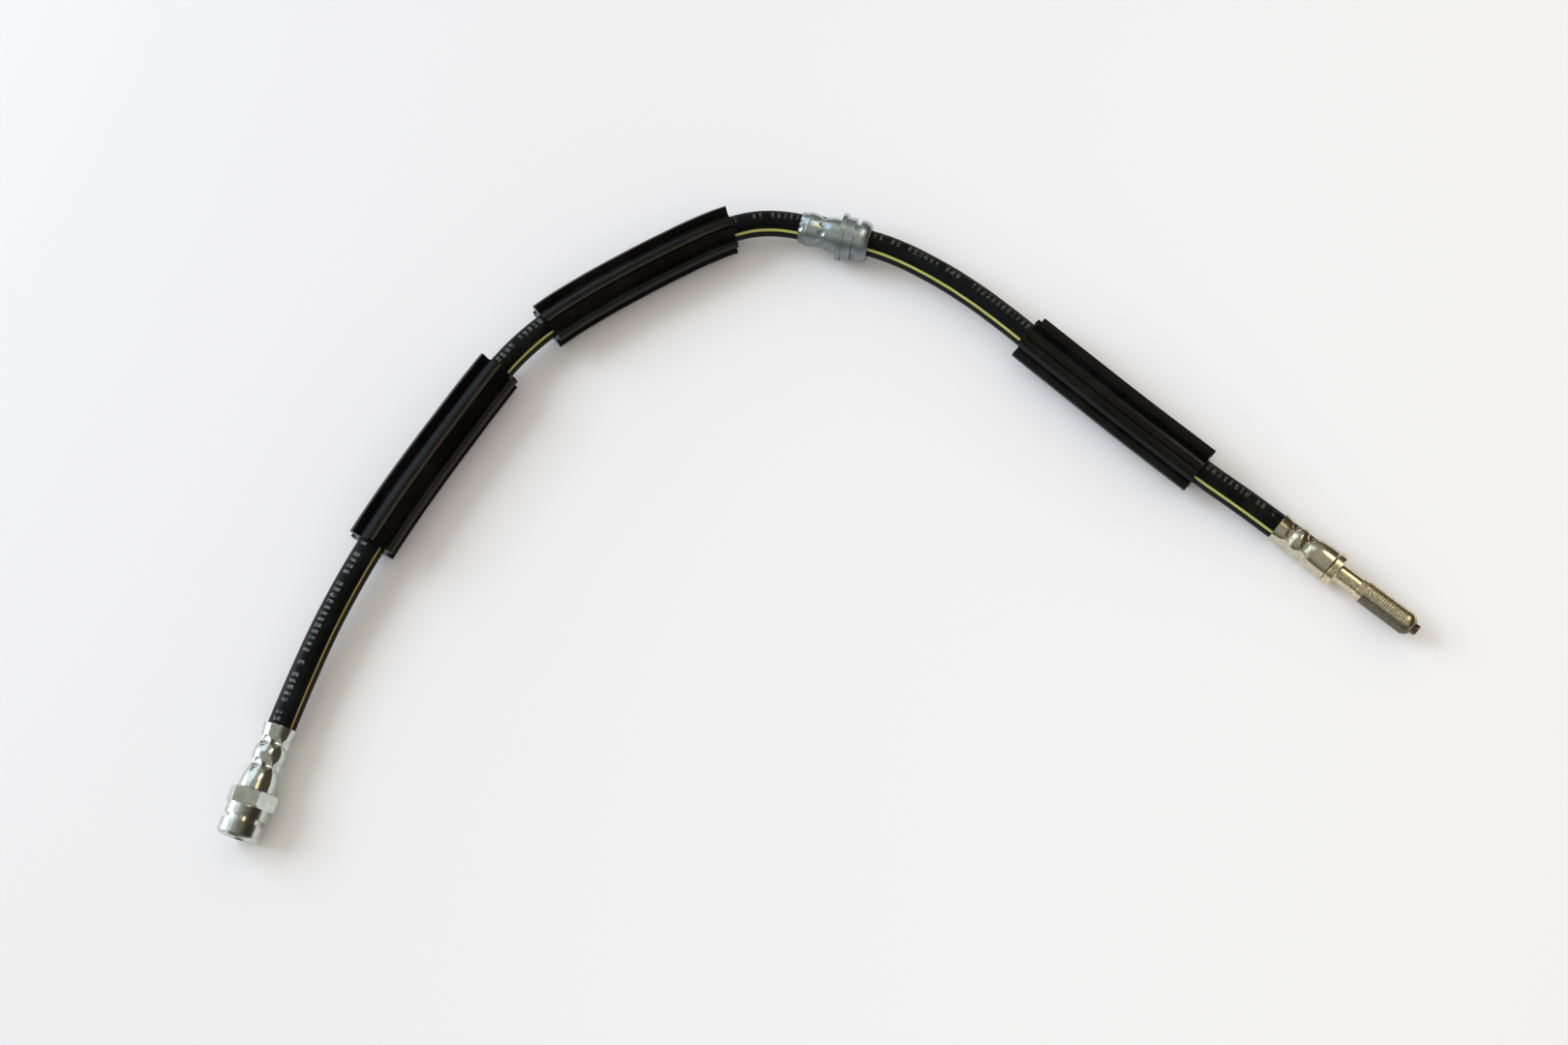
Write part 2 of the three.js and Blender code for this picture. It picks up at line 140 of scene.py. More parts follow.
def turned(name, outline, facets):
    """Spins a closed half section, a list of (radius, place along X), round the X axis."""
    bpy.ops.object.select_all(action="DESELECT")
    radius, along = outline[0]
    bpy.ops.mesh.primitive_plane_add(size=2 * mm, location=(0, 0, 0))
    piece = bpy.context.object
    piece.name = name
    edit(piece)
    bpy.ops.mesh.select_all(action="SELECT")
    bpy.ops.mesh.merge(type="CENTER")
    bpy.ops.transform.translate(value=(along, 0, radius))
    for (radius, along), (next_radius, next_along) in zip(outline, outline[1:]):
        step = (next_along - along, 0, next_radius - radius)
        bpy.ops.mesh.extrude_vertices_move(TRANSFORM_OT_translate={"value": step})
    section = bmesh.from_edit_mesh(piece.data)
    section.verts.ensure_lookup_table()
    section.edges.new((section.verts[0], section.verts[-1]))
    bmesh.update_edit_mesh(piece.data)
    bpy.ops.mesh.select_all(action="SELECT")
    bpy.ops.mesh.spin(
        steps=facets, angle=2 * math.pi, center=(0, 0, 0), axis=(1, 0, 0), use_auto_merge=True
    )
    bpy.ops.mesh.select_all(action="SELECT")
    bpy.ops.mesh.remove_doubles(threshold=seam_weld)
    bpy.ops.mesh.normals_make_consistent(inside=False)
    leave_edit()
    return piece


def smooth_outline(stations, steps):
    """Catmull-Rom curve through (radius, place) stations, with the same number of steps a span."""
    ends = [stations[0], *stations, stations[-1]]
    points = []
    for before, start, end, after in zip(ends, ends[1:], ends[2:], ends[3:]):
        for i in range(steps):
            t = i / steps
            points.append(tuple(
                0.5 * (2 * b + (c - a) * t + (2 * a - 5 * b + 4 * c - d) * t ** 2
                       + (3 * b - a - 3 * c + d) * t ** 3)
                for a, b, c, d in zip(before, start, end, after)
            ))
    return [*points, stations[-1]]


def keep_straight(piece):
    """Keeps the coordinates that the piece has before it is bent or placed, for its patterns."""
    kept = piece.data.attributes.new("straight", "FLOAT_VECTOR", "POINT")
    kept.data.foreach_set("vector", [c for vertex in piece.data.vertices for c in vertex.co])


def shade(piece, angle=30, weighted=False):
    pick(piece)
    bpy.ops.object.shade_smooth_by_angle(angle=math.radians(angle))
    if weighted:
        apply_modifier(piece, "WEIGHTED_NORMAL", keep_sharp=True)


# The shell's outside also sets how the hose is squeezed, so its stations stand here.
shell_length = 24.4 * mm
shell_wall = 0.9 * mm
shell_end_wall = 1.4 * mm
shell_rim_radius = 6.5 * mm
shell_waist_radius = 5.55 * mm
shell_bulge_radius = 6.35 * mm
shell_bell_radius = 6.8 * mm
shell_bell_rise = 4.1 * mm
female_waists = (6.3 * mm, 14.9 * mm)
male_waists = (6 * mm, 13 * mm)
outline_steps = 10


def shell_outline(waists):
    bell_start = waists[1] + shell_bell_rise
    return smooth_outline([
        (shell_rim_radius, 0),
        ((shell_rim_radius + shell_waist_radius) / 2, waists[0] / 2),
        (shell_waist_radius, waists[0]),
        (shell_bulge_radius, (waists[0] + waists[1]) / 2),
        (shell_waist_radius, waists[1]),
        ((shell_waist_radius + 3 * shell_bell_radius) / 4, bell_start),
        (shell_bell_radius, (bell_start + shell_length) / 2),
        (shell_bell_radius, shell_length),
    ], outline_steps)


hose_end = shell_length - shell_end_wall - fit_gap
nipple_start = 2.2 * mm
nipple_hole_radius = 2.6 * mm


def squeezed(waists):
    points = [
        (min(radius - shell_wall - fit_gap, hose_radius), place)
        for radius, place in shell_outline(waists)
        if fit_gap < place < hose_end
    ]
    return [*points, (points[-1][0], hose_end)]


nipple_hole = [
    (nipple_hole_radius, hose_end),
    (nipple_hole_radius, nipple_start - fit_gap),
    (hose_bore_radius, nipple_start - fit_gap),
]
rings = round(free_length / hose_ring_step)
hose_outline = [
    *[(radius, lead_in - place) for radius, place in reversed(squeezed(female_waists))],
    *[(hose_radius, lead_in + i * free_length / rings) for i in range(rings + 1)],
    *[(radius, lead_in + free_length + place) for radius, place in squeezed(male_waists)],
    *[(radius, lead_in + free_length + place) for radius, place in nipple_hole],
    *[
        (hose_bore_radius, lead_in + i * free_length / rings)
        for i in range(rings, -1, -1)
    ],
    *[(radius, lead_in - place) for radius, place in reversed(nipple_hole)],
]
hose = turned("brake_hose", hose_outline, hose_facets)
keep_straight(hose)
apply_modifier(hose, "CURVE", object=hose_line, deform_axis="POS_X")
shade(hose)


def material(name):
    made = bpy.data.materials.new(name)
    made.use_nodes = True
    tree = made.node_tree
    return made, tree, tree.nodes["Principled BSDF"]


def add(tree, kind, inputs=None, **settings):
    """Adds a node. Inputs are values, or sockets to link, by socket name or number."""
    made = tree.nodes.new(kind)
    for name, value in settings.items():
        setattr(made, name, value)
    for name, value in (inputs or {}).items():
        if isinstance(value, bpy.types.NodeSocket):
            tree.links.new(value, made.inputs[name])
        else:
            made.inputs[name].default_value = value
    return made


def math_node(tree, operation, a, b=0.0, c=0.0):
    return add(tree, "ShaderNodeMath", {0: a, 1: b, 2: c}, operation=operation).outputs[0]


def mask(tree, value, low, high):
    """Smooth step from 0 at low to 1 at high, which may run downwards."""
    made = add(
        tree, "ShaderNodeMapRange",
        {"Value": value, "From Min": low, "From Max": high},
        interpolation_type="SMOOTHSTEP",
    )
    return made.outputs["Result"]


def mixed(tree, factor, a, b):
    made = add(tree, "ShaderNodeMix", {0: factor, 6: a, 7: b}, data_type="RGBA")
    return made.outputs[2]


def noise(tree, vector, scale, detail=3.0, roughness=0.55):
    made = add(
        tree, "ShaderNodeTexNoise",
        {"Vector": vector, "Scale": scale, "Detail": detail, "Roughness": roughness},
    )
    return made.outputs["Fac"]


def stretched(tree, vector, scale):
    made = add(tree, "ShaderNodeMapping", {"Vector": vector, "Scale": scale})
    return made.outputs["Vector"]


def straight_vector(tree):
    return add(tree, "ShaderNodeAttribute", attribute_name="straight").outputs["Vector"]


def new_group(name, inputs, outputs):
    """A shader node group with named sockets: (name, kind, default) going in, (name, kind) out."""
    tree = bpy.data.node_groups.new(name, "ShaderNodeTree")
    for socket_name, kind, default in inputs:
        socket = tree.interface.new_socket(socket_name, in_out="INPUT", socket_type=kind)
        if default is not None:
            socket.default_value = default
    for socket_name, kind in outputs:
        tree.interface.new_socket(socket_name, in_out="OUTPUT", socket_type=kind)
    return tree, tree.nodes.new("NodeGroupInput"), tree.nodes.new("NodeGroupOutput")


def use_group(tree, group, inputs):
    return add(tree, "ShaderNodeGroup", inputs, node_tree=group)


# Dust and handling marks on rubber, shared by the hose and its sleeves
rubber_marks, marks_in, marks_out = new_group(
    "Rubber marks",
    [("Vector", "NodeSocketVector", None), ("Amount", "NodeSocketFloat", 1.0)],
    [("Dust", "NodeSocketFloat"), ("Sheen", "NodeSocketFloat"), ("Height", "NodeSocketFloat")],
)
cloud_scale = 90.0
speck_scale = 1400.0
dust_colour = (0.03, 0.03, 0.028, 1)
cloudy = noise(rubber_marks, marks_in.outputs["Vector"], cloud_scale, 4.0)
specks = noise(rubber_marks, marks_in.outputs["Vector"], speck_scale, 2.0)
dusty = math_node(
    rubber_marks, "MULTIPLY",
    mask(rubber_marks, cloudy, 0.45, 0.75),
    mask(rubber_marks, specks, 0.52, 0.72),
)
rubber_marks.links.new(
    math_node(rubber_marks, "MULTIPLY", dusty, marks_in.outputs["Amount"]), marks_out.inputs["Dust"]
)
rubber_marks.links.new(cloudy, marks_out.inputs["Sheen"])
rubber_marks.links.new(specks, marks_out.inputs["Height"])

hose_material, tree, shader = material("hose_rubber")
black_rubber = (0.0018, 0.002, 0.0024, 1)
grey_bloom = (0.0045, 0.005, 0.0055, 1)
shaded_lay_line_brown = (0.27, 0.20, 0.05, 1)
lay_line_yellow = (0.40, 0.39, 0.11, 1)
ink_grey = (0.13, 0.145, 0.14, 1)
ink_brown = (0.07, 0.068, 0.055, 1)
# Degrees round the hose, and millimetres of arc or of length
lay_line_angle = 59.5
lay_line_width = 0.8
lay_line_gain = 0.4
lay_line_waver = 0.3
line_edge = 0.07
ink_angle = -14
ink_height = 2.8
ink_pitch = 2.5
ink_edge = 0.12
change_start = 110
change_end = 270
# Shares of a dash's pitch, and of all dashes
narrowest_dash = 0.16
dash_spread = 0.16
dash_edge = 0.05
lost_dashes = (0.16, 0.18)
# Noise scales, strengths and finish
waver_scale = (90, 0, 0)
worn_scale = 900.0
drawn_scale = (60, 900, 900)
speck_height = 0.6
hose_dust = 0.35
hose_roughness = 0.38
hose_roughness_drift = 0.2
straight = straight_vector(tree)
parts = add(tree, "ShaderNodeSeparateXYZ", {0: straight}).outputs
# Place round the hose in millimetres of arc, from straight up towards the right of the run
around = math_node(
    tree, "MULTIPLY",
    math_node(tree, "ARCTAN2", math_node(tree, "MULTIPLY", parts["Y"], -1.0), parts["Z"]),
    hose_radius / mm,
)
arc_of = math.radians(1) * hose_radius / mm
waver = noise(tree, stretched(tree, straight, waver_scale), 1.0, 2.0)
from_line = math_node(
    tree, "ABSOLUTE",
    math_node(
        tree, "ADD",
        math_node(tree, "SUBTRACT", around, lay_line_angle * arc_of),
        math_node(tree, "MULTIPLY", math_node(tree, "SUBTRACT", waver, 0.5), lay_line_waver),
    ),
)
# Along the lower run the line is thinner and browner and the ink is greyer. Both change slowly. The darker
# brown of the line there is partly painted shade, since on that run it faces away from the window.
along = math_node(tree, "MULTIPLY", parts["X"], 1 / mm)
later = mask(tree, along, change_start, change_end)
half_width = math_node(tree, "MULTIPLY_ADD", later, lay_line_gain / 2, lay_line_width / 2)
lay_line = mask(tree, math_node(tree, "SUBTRACT", from_line, half_width), line_edge, -line_edge)
marks = use_group(tree, rubber_marks, {"Vector": straight, "Amount": hose_dust})

# Faded ink: one row of short upright dashes of uneven width, with some left out and all of them worn
from_ink = math_node(tree, "ABSOLUTE", math_node(tree, "SUBTRACT", around, ink_angle * arc_of))
dashes = math_node(tree, "DIVIDE", along, ink_pitch)
dash_number = math_node(tree, "FLOOR", dashes)
chance = add(
    tree, "ShaderNodeTexWhiteNoise", {"W": dash_number}, noise_dimensions="1D"
).outputs["Value"]
place_in_dash = math_node(tree, "FRACT", dashes)
from_middle = math_node(tree, "ABSOLUTE", math_node(tree, "SUBTRACT", place_in_dash, 0.5))
dash_width = math_node(tree, "MULTIPLY_ADD", chance, dash_spread, narrowest_dash)
dash_body = mask(tree, math_node(tree, "SUBTRACT", from_middle, dash_width), dash_edge, -dash_edge)
dash_ends = mask(tree, from_ink, ink_height / 2 + ink_edge, ink_height / 2 - ink_edge)
dash_kept = mask(tree, chance, *lost_dashes)
dash_worn = mask(tree, noise(tree, straight, worn_scale, 3.0), 0.30, 0.62)
ink = math_node(tree, "MULTIPLY", dash_body, dash_ends)
ink = math_node(tree, "MULTIPLY", ink, dash_kept)
ink = math_node(tree, "MULTIPLY", ink, dash_worn)

colour = mixed(tree, mask(tree, marks.outputs["Sheen"], 0.35, 0.7), black_rubber, grey_bloom)
colour = mixed(tree, marks.outputs["Dust"], colour, dust_colour)
colour = mixed(tree, ink, colour, mixed(tree, later, ink_grey, ink_brown))
colour = mixed(tree, lay_line, colour, mixed(tree, later, shaded_lay_line_brown, lay_line_yellow))
tree.links.new(colour, shader.inputs["Base Color"])
gloss = math_node(
    tree, "MULTIPLY_ADD", marks.outputs["Sheen"], hose_roughness_drift, hose_roughness
)
tree.links.new(gloss, shader.inputs["Roughness"])
shader.inputs["Specular IOR Level"].default_value = 0.1
drawn = noise(tree, stretched(tree, straight, drawn_scale), 1.0, 2.0)
specked = math_node(tree, "MULTIPLY", marks.outputs["Height"], speck_height)
height = math_node(tree, "ADD", drawn, specked)
bump = add(tree, "ShaderNodeBump", {"Strength": 0.25, "Distance": 0.08 * mm, "Height": height})
tree.links.new(bump.outputs[0], shader.inputs["Normal"])
hose.data.materials.append(hose_material)
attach(hose, "root")
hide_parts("hose")

# Ribbed sleeves
# Three lengths of one extruded black rubber section with six square ribs, cut off straight and
# pushed over the hose, where they keep it from rubbing on the car.
sleeve_length = 86 * mm
sleeve_root_radius = 7 * mm
rib_rise = 3 * mm
rib_faces = 5
sleeve_facets = 72
rib_corner = 0.8 * mm
rib_fillet = 0.6 * mm
rib_middles = range(0, 360, 60)
sleeve_bore_radius = 5.6 * mm
sleeve_rings = 43
plane_slack = 0.01 * mm
end_weld = 0.02 * mm
# Name, node, distance along the line from the female shell's rim, and turn round the hose
sleeves = [
    ("lower_rubber_sleeve", "lower_sleeve", 76.4 * mm, -12),
    ("upper_rubber_sleeve", "upper_sleeve", 189 * mm, -12),
    ("right_rubber_sleeve", "right_sleeve", 409.4 * mm, 20),
]


def section_angle(point):
    """Angle round the X axis, from straight up towards +Y, which is the left of the run."""
    return math.degrees(math.atan2(point.y, point.z))


def degrees_apart(a, b):
    return abs((a - b + 180) % 360 - 180)


def select_faces(piece, wanted):
    shape = bmesh.from_edit_mesh(piece.data)
    for face in shape.faces:
        face.select_set(wanted(face))
    bmesh.update_edit_mesh(piece.data)


def select_edges(piece, wanted):
    shape = bmesh.from_edit_mesh(piece.data)
    for edge in shape.edges:
        edge.select_set(wanted(*[vertex.co for vertex in edge.verts]))
    shape.select_flush_mode()
    bmesh.update_edit_mesh(piece.data)


bpy.ops.mesh.primitive_cylinder_add(
    vertices=sleeve_facets, radius=sleeve_root_radius, depth=sleeve_length,
    end_fill_type="NOTHING", location=(sleeve_length / 2, 0, 0), rotation=(0, math.pi / 2, 0),
)
blank = bpy.context.object
blank.name = "sleeve_blank"
bpy.ops.object.transform_apply(location=True, rotation=True, scale=True)
rib_spread = rib_faces * 360 / sleeve_facets / 2


def under_rib(face, middle):
    centre = face.calc_center_median()
    on_root = math.hypot(centre.y, centre.z) < sleeve_root_radius
    return on_root and degrees_apart(section_angle(centre), middle) < rib_spread


for middle in rib_middles:
    edit(blank)
    bpy.ops.mesh.select_mode(type="FACE")
    select_faces(blank, lambda face: under_rib(face, middle))
    out = Vector((0, math.sin(math.radians(middle)), math.cos(math.radians(middle)))) * rib_rise
    bpy.ops.mesh.extrude_region_move(TRANSFORM_OT_translate={"value": out})
    leave_edit()


def runs_along(start, end):
    return abs(start.x - end.x) > sleeve_length / 2


def from_rib_middle(point):
    return min(degrees_apart(section_angle(point), middle) for middle in rib_middles)


# The limits tell the edges at a rib's foot and the corners of its top from the edges between them.
foot_limit = sleeve_root_radius + 0.2 * mm
top_limit = sleeve_root_radius + 0.8 * rib_rise
foot_slack = 1
corner_angle = rib_spread * sleeve_root_radius / (sleeve_root_radius + rib_rise) - 1.5


def at_rib_foot(start, end):
    low_down = math.hypot(start.y, start.z) < foot_limit
    return runs_along(start, end) and low_down and abs(from_rib_middle(start) - rib_spread) < foot_slack


def at_rib_corner(start, end):
    high_up = math.hypot(start.y, start.z) > top_limit
    return runs_along(start, end) and high_up and from_rib_middle(start) > corner_angle


edit(blank)
bpy.ops.mesh.select_mode(type="EDGE")
select_edges(blank, at_rib_foot)
bpy.ops.mesh.bevel(offset=rib_fillet, segments=3, affect="EDGES")
bpy.ops.mesh.select_all(action="DESELECT")
select_edges(blank, at_rib_corner)
bpy.ops.mesh.bevel(offset=rib_corner, segments=4, affect="EDGES")
bpy.ops.mesh.primitive_cylinder_add(
    vertices=sleeve_facets, radius=sleeve_bore_radius, depth=sleeve_length,
    end_fill_type="NOTHING", location=(sleeve_length / 2, 0, 0), rotation=(0, math.pi / 2, 0),
)


def in_plane(points, place):
    return all(abs(point.x - place) < plane_slack for point in points)


# Each cut end is cleared of what the ribs left there, and closed as one flat ring round the bore.
for place in (0, sleeve_length):
    bpy.ops.mesh.select_mode(type="FACE")
    bpy.ops.mesh.select_all(action="DESELECT")
    select_faces(blank, lambda face: in_plane([vertex.co for vertex in face.verts], place))
    bpy.ops.mesh.delete(type="FACE")
    bpy.ops.mesh.select_mode(type="EDGE")
    bpy.ops.mesh.select_all(action="SELECT")
    bpy.ops.mesh.remove_doubles(threshold=end_weld)
    bpy.ops.mesh.select_all(action="DESELECT")
    select_edges(blank, lambda start, end: in_plane([start, end], place))
    bpy.ops.mesh.fill(use_beauty=True)
bpy.ops.mesh.select_all(action="SELECT")
bpy.ops.mesh.normals_make_consistent(inside=False)
bpy.ops.mesh.select_all(action="DESELECT")
select_edges(blank, runs_along)
bpy.ops.mesh.subdivide(number_cuts=sleeve_rings)
leave_edit()

sleeve_material, tree, shader = material("sleeve_rubber")
sleeve_black = (0.0015, 0.0015, 0.0016, 1)
sleeve_bloom = (0.0045, 0.0045, 0.0046, 1)
rubbed_brown = (0.04, 0.03, 0.024, 1)
rubbed_share = 0.3
extruded_scale = (25, 1500, 1500)
sleeve_dust = 0.5
sleeve_roughness = 0.24
sleeve_roughness_drift = 0.25
straight = straight_vector(tree)
marks = use_group(tree, rubber_marks, {"Vector": straight, "Amount": sleeve_dust})
drawn = noise(tree, stretched(tree, straight, extruded_scale), 1.0, 3.0, 0.6)
rubbed = math_node(tree, "MULTIPLY", mask(tree, drawn, 0.62, 0.78), rubbed_share)
colour = mixed(tree, mask(tree, marks.outputs["Sheen"], 0.3, 0.75), sleeve_black, sleeve_bloom)
colour = mixed(tree, rubbed, colour, rubbed_brown)
colour = mixed(tree, marks.outputs["Dust"], colour, dust_colour)
tree.links.new(colour, shader.inputs["Base Color"])
gloss = math_node(
    tree, "MULTIPLY_ADD", marks.outputs["Sheen"], sleeve_roughness_drift, sleeve_roughness
)
tree.links.new(gloss, shader.inputs["Roughness"])
shader.inputs["Specular IOR Level"].default_value = 0.05
shader.inputs["Coat Weight"].default_value = 0.35
shader.inputs["Coat Roughness"].default_value = 0.12
bump = add(tree, "ShaderNodeBump", {"Strength": 0.3, "Distance": 0.05 * mm, "Height": drawn})
tree.links.new(bump.outputs[0], shader.inputs["Normal"])

for name, node, start, turn in sleeves:
    pick(blank)
    bpy.ops.object.duplicate()
    sleeve = bpy.context.object
    sleeve.name = name
    sleeve.rotation_euler = (-math.radians(turn), 0, 0)
    bpy.ops.object.transform_apply(location=True, rotation=True, scale=True)
    keep_straight(sleeve)
    sleeve.location = (lead_in + start, 0, 0)
    bpy.ops.object.transform_apply(location=True, rotation=True, scale=True)
    apply_modifier(sleeve, "CURVE", object=hose_line, deform_axis="POS_X")
    shade(sleeve, 35)
    sleeve.data.materials.append(sleeve_material)
    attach(sleeve, "root")
    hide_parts(node)
bpy.data.objects.remove(blank)

# Crimped shells
# A drawn steel cup on each end of the hose, zinc plated, squeezed down on hose and nipple by round
# punches that leave two waists with a ring of marks each.
shell_facets = 120
punch_depth = 0.6 * mm
punch_radius = 2.0 * mm
punch_count = 8
punch_band = 0.4 * mm
boss_hole_radius = 3.7 * mm
edge_round = 0.12 * mm


def round_edges(piece, width, angle=40):
    apply_modifier(
        piece, "BEVEL", width=width, segments=2, limit_method="ANGLE", angle_limit=math.radians(angle)
    )


def punch(piece, waist, depth, radius, count):
    """Pushes a ring of round dents into the outside at a place along X."""
    edit(piece)
    shape = bmesh.from_edit_mesh(piece.data)
    band = [vertex.co for vertex in shape.verts if abs(vertex.co.x - waist) < punch_band]
    outside = max(math.hypot(point.y, point.z) for point in band)
    for i in range(count):
        angle = (i + 0.5) * 2 * math.pi / count
        out = Vector((0, math.cos(angle), math.sin(angle)))
        target = Vector((waist, 0, 0)) + out * outside
        bpy.ops.mesh.select_all(action="DESELECT")
        shape = bmesh.from_edit_mesh(piece.data)
        nearest = min(shape.verts, key=lambda vertex: (vertex.co - target).length_squared)
        nearest.select_set(True)
        bmesh.update_edit_mesh(piece.data)
        bpy.ops.transform.translate(
            value=-out * depth, use_proportional_edit=True, use_proportional_connected=True,
            proportional_edit_falloff="INVERSE_SQUARE", proportional_size=radius,
        )
    leave_edit()


def put_in_place(piece, point, heading):
    """Turns a piece that was made along X to its heading and moves its rim to its place."""
    keep_straight(piece)
    pick(piece)
    piece.location = point
    piece.rotation_euler = (0, 0, heading)
    bpy.ops.object.transform_apply(location=True, rotation=True, scale=True)


def shell_profile(waists):
    outside = shell_outline(waists)
    bore_end = shell_length - shell_end_wall
    last_place = bore_end - 2 * edge_round
    bore = [(radius - shell_wall, place) for radius, place in outside if place < last_place]
    return [
        *outside,
        (boss_hole_radius, shell_length),
        (boss_hole_radius, bore_end),
        (bore[-1][0], bore_end),
        *reversed(bore),
    ]


# Zinc plate, shared by the shells, the fittings and the collar: a colour that drifts between two
# tints, fine turning or drawing lines, and small scuffs.
zinc_plate, plate_in, plate_out = new_group(
    "Zinc plate",
    [
        ("Vector", "NodeSocketVector", None),
        ("Tint", "NodeSocketColor", (0.8, 0.8, 0.78, 1)),
        ("Second tint", "NodeSocketColor", (0.7, 0.72, 0.68, 1)),
        ("Blotch size", "NodeSocketFloat", 400.0),
        ("Line pitch", "NodeSocketFloat", 0.12),
        ("Line strength", "NodeSocketFloat", 0.3),
        ("Roughness", "NodeSocketFloat", 0.2),
        ("Grain", "NodeSocketFloat", 0.2),
    ],
    [("Color", "NodeSocketColor"), ("Roughness", "NodeSocketFloat"), ("Height", "NodeSocketFloat")],
)
scuff_scale = 1800.0
scuff_share = 0.35
scuff_roughness = 0.3
scuff_colour = (0.25, 0.23, 0.2, 1)
grain_scale = 5200.0
inside = plate_in.outputs
blotch = noise(zinc_plate, inside["Vector"], inside["Blotch size"], 3.0)
scuffs = noise(zinc_plate, inside["Vector"], scuff_scale, 2.0)
grain = noise(zinc_plate, inside["Vector"], grain_scale, 2.0, 0.7)
place = add(zinc_plate, "ShaderNodeSeparateXYZ", {0: inside["Vector"]}).outputs["X"]
place = math_node(zinc_plate, "MULTIPLY", place, 1 / mm)
cut = math_node(zinc_plate, "DIVIDE", place, inside["Line pitch"])
line_height = add(
    zinc_plate, "ShaderNodeTexNoise", {"W": cut, "Scale": 1.0, "Detail": 2.0}, noise_dimensions="1D"
)
tint = mixed(zinc_plate, mask(zinc_plate, blotch, 0.35, 0.65), inside["Tint"], inside["Second tint"])
scuffed = math_node(zinc_plate, "MULTIPLY", mask(zinc_plate, scuffs, 0.6, 0.75), scuff_share)
tint = mixed(zinc_plate, scuffed, tint, scuff_colour)
zinc_plate.links.new(tint, plate_out.inputs["Color"])
rough = math_node(zinc_plate, "SUBTRACT", scuffs, 0.5)
rough = math_node(zinc_plate, "MULTIPLY_ADD", rough, scuff_roughness, inside["Roughness"])
zinc_plate.links.new(rough, plate_out.inputs["Roughness"])
rise = math_node(
    zinc_plate, "ADD",
    math_node(zinc_plate, "MULTIPLY", line_height.outputs["Fac"], inside["Line strength"]),
    math_node(zinc_plate, "MULTIPLY", grain, inside["Grain"]),
)
zinc_plate.links.new(rise, plate_out.inputs["Height"])

# Painted shade: turned pieces are darkened on one side to stand in for shade and dark reflections of the
# room
painted_shade_colour = (0.06, 0.057, 0.048, 1)
painted_shade_roughness = 0.3
painted_shade_edge = 0.3 * mm
dark_tip = (0.13, 0.105, 0.07, 1)
tip_fade = 2 * mm
tip_edge = 0.2 * mm


def plated(
    name, tint, second_tint, roughness, blotch_size=400.0, pitch=0.12, lines=0.3, grain=0.2, depth=0.012,
    painted_shade=0.0, painted_shade_side=(-0.9, -0.45), painted_shade_reach=(0.5 * mm, 4 * mm), painted_shade_start=-1 * mm, tip=None,
):
    """Zinc plate, with painted shade, a darker and rougher band, on one side (Y, Z) past a place along X,
    and a dark tip past another.

    The pitch of the lines and the depth of the relief are in millimetres.
    """
    made, tree, shader = material(name)
    plate = use_group(tree, zinc_plate, {
        "Vector": straight_vector(tree), "Tint": tint, "Second tint": second_tint,
        "Blotch size": blotch_size, "Line pitch": pitch, "Line strength": lines,
        "Roughness": roughness, "Grain": grain,
    })
    colour = plate.outputs["Color"]
    rough = plate.outputs["Roughness"]
    parts = add(tree, "ShaderNodeSeparateXYZ", {0: straight_vector(tree)}).outputs
    # Painted shade: the plate is darkened and roughened on one side, past a place along X
    if painted_shade:
        side_y, side_z = painted_shade_side
        flank = math_node(tree, "MULTIPLY", parts["Y"], side_y)
        flank = math_node(tree, "MULTIPLY_ADD", parts["Z"], side_z, flank)
        started = mask(tree, parts["X"], painted_shade_start - painted_shade_edge, painted_shade_start + painted_shade_edge)
        shade_share = math_node(tree, "MULTIPLY", mask(tree, flank, *painted_shade_reach), painted_shade)
        shade_share = math_node(tree, "MULTIPLY", shade_share, started)
        colour = mixed(tree, shade_share, colour, painted_shade_colour)
        rough = math_node(tree, "MULTIPLY_ADD", shade_share, painted_shade_roughness, rough)
    if tip:
        darkened = mask(tree, parts["X"], tip - tip_fade, tip + tip_edge)
        colour = mixed(tree, darkened, colour, dark_tip)
    tree.links.new(colour, shader.inputs["Base Color"])
    tree.links.new(rough, shader.inputs["Roughness"])
    bump = add(tree, "ShaderNodeBump", {"Distance": depth * mm, "Height": plate.outputs["Height"]})
    tree.links.new(bump.outputs[0], shader.inputs["Normal"])
    shader.inputs["Metallic"].default_value = 1
    return made


silver = (0.62, 0.67, 0.63, 1)
shell_silver = (0.55, 0.59, 0.54, 1)
pale_yellow = (0.62, 0.60, 0.48, 1)
shell_yellow = (0.55, 0.51, 0.38, 1)
silver_plate = plated("silver_zinc", silver, shell_silver, 0.15, lines=0.15)
yellow_plate = plated("yellow_zinc", pale_yellow, shell_yellow, 0.16, lines=0.15)
# Name, node, waists, rim, heading, finish and material slot
shells = [
    (
        "female_shell", "female_crimp_shell", female_waists, female_rim, female_heading,
        silver_plate, "silver_zinc",
    ),
    (
        "male_shell", "male_crimp_shell", male_waists, male_rim, male_heading,
        yellow_plate, "yellow_zinc",
    ),
]
for name, node, waists, rim, heading, plate, slot in shells:
    shell = turned(name, shell_profile(waists), shell_facets)
    round_edges(shell, edge_round)
    for waist in waists:
        punch(shell, waist, punch_depth, punch_radius, punch_count)
    put_in_place(shell, rim, heading)
    shade(shell, 50)
    shell.data.materials.append(plate)
    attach(shell, "root")
    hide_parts(node)

